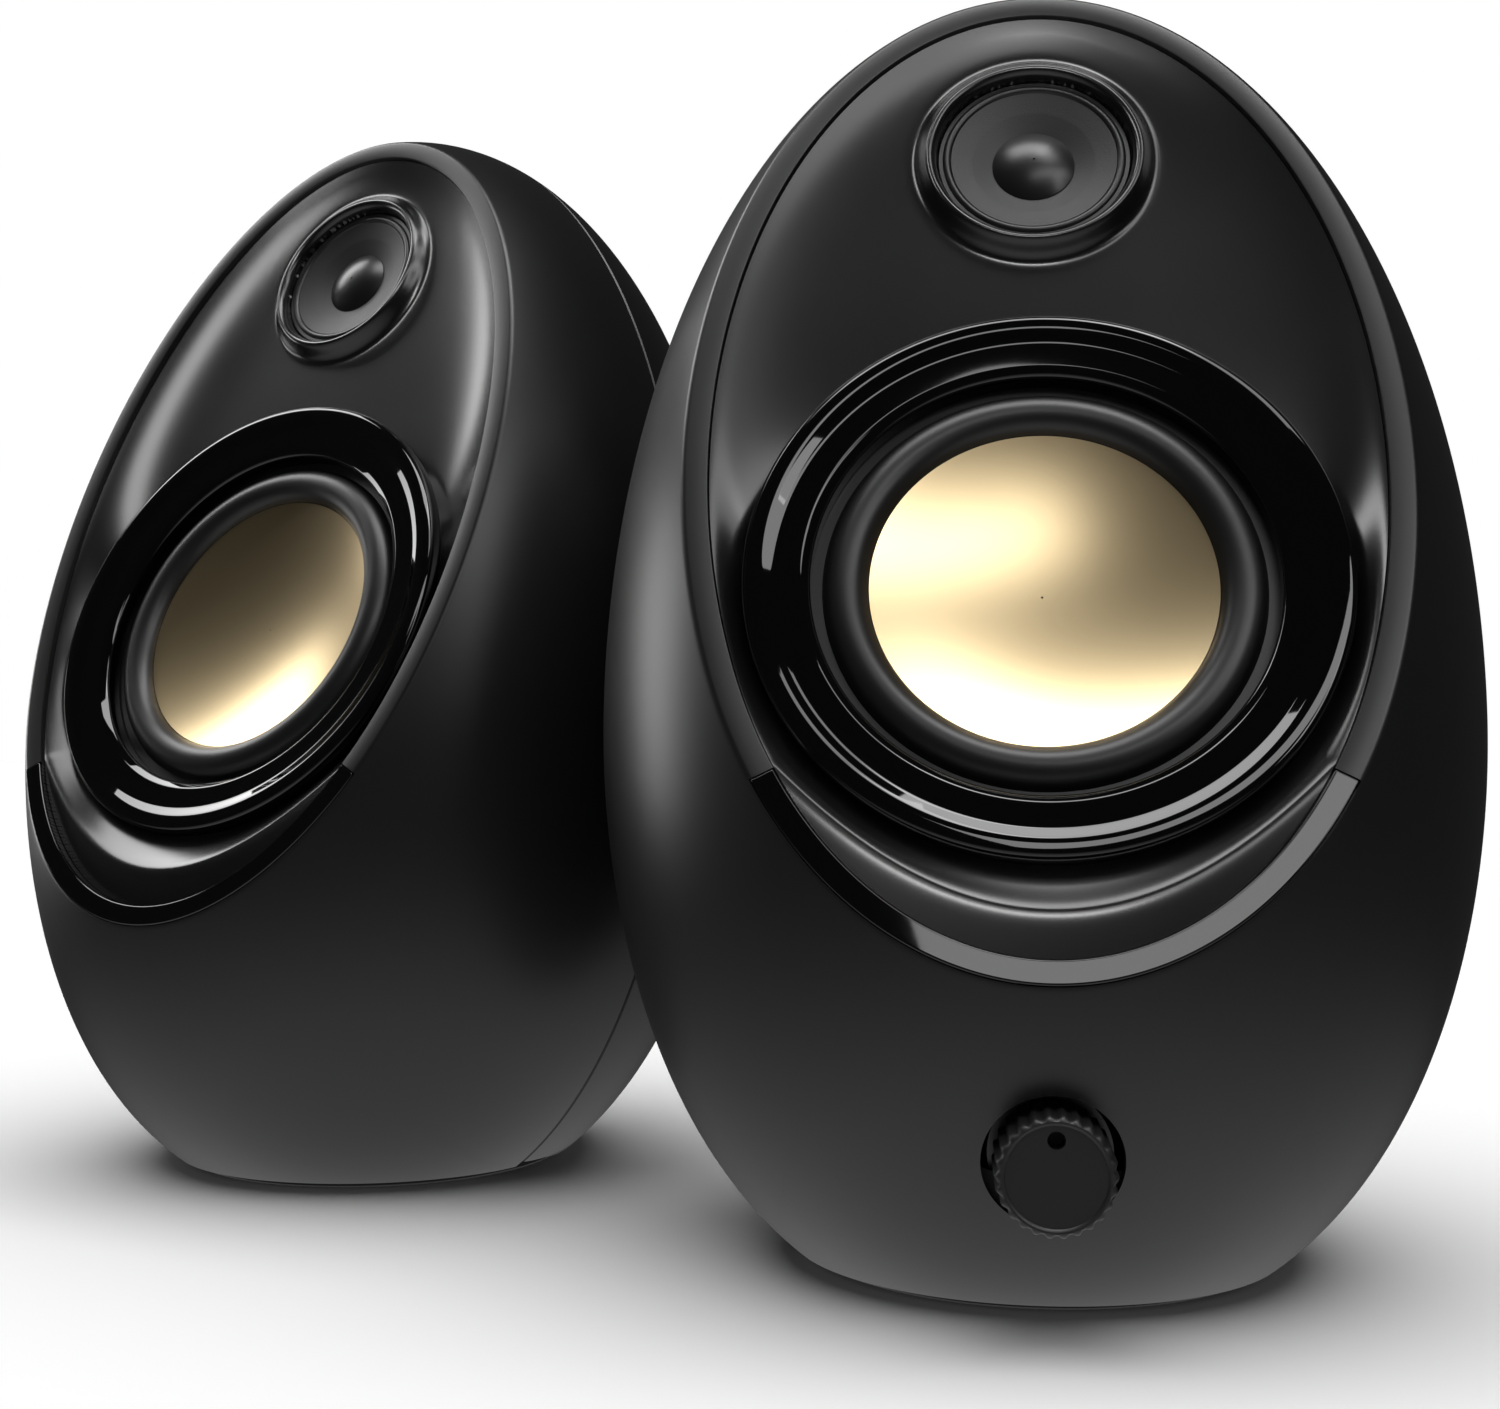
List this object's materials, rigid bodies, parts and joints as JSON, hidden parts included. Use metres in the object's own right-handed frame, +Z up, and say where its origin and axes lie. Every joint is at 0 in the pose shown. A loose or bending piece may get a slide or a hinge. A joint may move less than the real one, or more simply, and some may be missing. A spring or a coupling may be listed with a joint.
{
  "type": "desktop speakers",
  "caption": "Pair of egg-shaped desktop speakers with sloping oval faces, metal-dish woofers, small tweeters, glossy trim and a ribbed volume knob.",
  "frame": {"origin": "middle of the pair's footprint box, on the surface they stand on", "axes": "+Z up; the main speaker faces -Y and stands on the +X side; the satellite, turned outwards, stands on the -X side and further back"},
  "size_m": [0.2468, 0.1918, 0.1899],
  "materials": {
    "cabinet": "soft-touch satin black",
    "cover": "satin black",
    "baffle": "smooth satin black",
    "gloss_trim": "high gloss black",
    "foot_rubber": "matt rubber",
    "steel": "zinc plated",
    "painted_steel": "black paint",
    "champagne_metal": "anodised champagne, satin",
    "surround_rubber": "satin rubber",
    "spider_cloth": "resin-treated cloth",
    "copper": "enamelled wire",
    "ferrite": "sintered ferrite",
    "cone_paper": "pressed paper, black",
    "dome": "smooth satin dome",
    "capacitor_sleeve": "shrink sleeve",
    "lead_insulation": "insulated wire",
    "knob": "matt moulded grip",
    "circuit_board": "solder mask",
    "bare_aluminium": "extruded",
    "socket_plastic": "moulded"
  },
  "bodies": {
    "main_speaker": {"main_amp_board": "circuit_board", "main_amp_heatsink": "bare_aluminium", "main_audio_in_jack": "socket_plastic", "main_baffle": "baffle", "main_baffle_screws": "steel", "main_cover_screws": "steel", "main_dc_inlet": "socket_plastic", "main_driver_leads": "lead_insulation", "main_foot_pad": "foot_rubber", "main_housing": "cabinet", "main_lower_trim": "gloss_trim", "main_potentiometer": "steel", "main_potentiometer_nut": "steel", "main_rear_cover": "cover", "main_speaker_out_jack": "socket_plastic", "main_tweeter_capacitor": "capacitor_sleeve", "main_tweeter_frame": "painted_steel", "main_tweeter_magnet": "ferrite", "main_tweeter_yoke": "steel", "main_woofer_basket": "painted_steel", "main_woofer_magnet": "ferrite", "main_woofer_ring": "gloss_trim", "main_woofer_top_plate": "steel", "main_woofer_yoke": "steel"},
    "satellite_speaker": {"satellite_baffle": "baffle", "satellite_baffle_screws": "steel", "satellite_cover_screws": "steel", "satellite_driver_leads": "lead_insulation", "satellite_foot_pad": "foot_rubber", "satellite_housing": "cabinet", "satellite_lower_trim": "gloss_trim", "satellite_rear_cover": "cover", "satellite_speaker_in_jack": "socket_plastic", "satellite_tweeter_capacitor": "capacitor_sleeve", "satellite_tweeter_frame": "painted_steel", "satellite_tweeter_magnet": "ferrite", "satellite_tweeter_yoke": "steel", "satellite_woofer_basket": "painted_steel", "satellite_woofer_magnet": "ferrite", "satellite_woofer_ring": "gloss_trim", "satellite_woofer_top_plate": "steel", "satellite_woofer_yoke": "steel"},
    "main_woofer_diaphragm": {"main_woofer_cone": "champagne_metal", "main_woofer_voice_coil": "copper", "main_woofer_surround": "surround_rubber", "main_woofer_spider": "spider_cloth"},
    "main_tweeter_diaphragm": {"main_tweeter_cone": "cone_paper", "main_tweeter_dust_cap": "dome", "main_tweeter_voice_coil": "copper", "main_tweeter_surround": "surround_rubber"},
    "satellite_woofer_diaphragm": {"satellite_woofer_cone": "champagne_metal", "satellite_woofer_voice_coil": "copper", "satellite_woofer_surround": "surround_rubber", "satellite_woofer_spider": "spider_cloth"},
    "satellite_tweeter_diaphragm": {"satellite_tweeter_cone": "cone_paper", "satellite_tweeter_dust_cap": "dome", "satellite_tweeter_voice_coil": "copper", "satellite_tweeter_surround": "surround_rubber"},
    "volume_knob": {"main_volume_knob": "knob", "main_knob_shaft": "steel"}
  },
  "joints": [
    {"name": "volume_turn", "type": "hinge", "parent": "main_speaker", "child": "volume_knob", "pos_m": [0.05838, -0.08991, 0.0233], "axis": [0, 1, 0], "range_deg": [-150, 150]},
    {"name": "main_woofer_travel", "type": "slide", "parent": "main_speaker", "child": "main_woofer_diaphragm", "axis": [0, -0.9232, 0.3843], "range_m": [-0.0025, 0.0025], "stiffness_N_per_m": 900, "deforming": ["main_woofer_surround", "main_woofer_spider"]},
    {"name": "main_tweeter_travel", "type": "slide", "parent": "main_speaker", "child": "main_tweeter_diaphragm", "axis": [0, -0.9232, 0.3843], "range_m": [-0.0004, 0.0004], "stiffness_N_per_m": 600, "deforming": ["main_tweeter_surround"]},
    {"name": "satellite_place", "type": "slide", "parent": "main_speaker", "child": "satellite_speaker", "axis": [-1, 0, 0], "range_m": [0, 0.3]},
    {"name": "satellite_woofer_travel", "type": "slide", "parent": "satellite_speaker", "child": "satellite_woofer_diaphragm", "axis": [-0.3931, -0.8353, 0.3843], "range_m": [-0.0025, 0.0025], "stiffness_N_per_m": 900, "deforming": ["satellite_woofer_surround", "satellite_woofer_spider"]},
    {"name": "satellite_tweeter_travel", "type": "slide", "parent": "satellite_speaker", "child": "satellite_tweeter_diaphragm", "axis": [-0.3931, -0.8353, 0.3843], "range_m": [-0.0004, 0.0004], "stiffness_N_per_m": 600, "deforming": ["satellite_tweeter_surround"]}
  ]
}
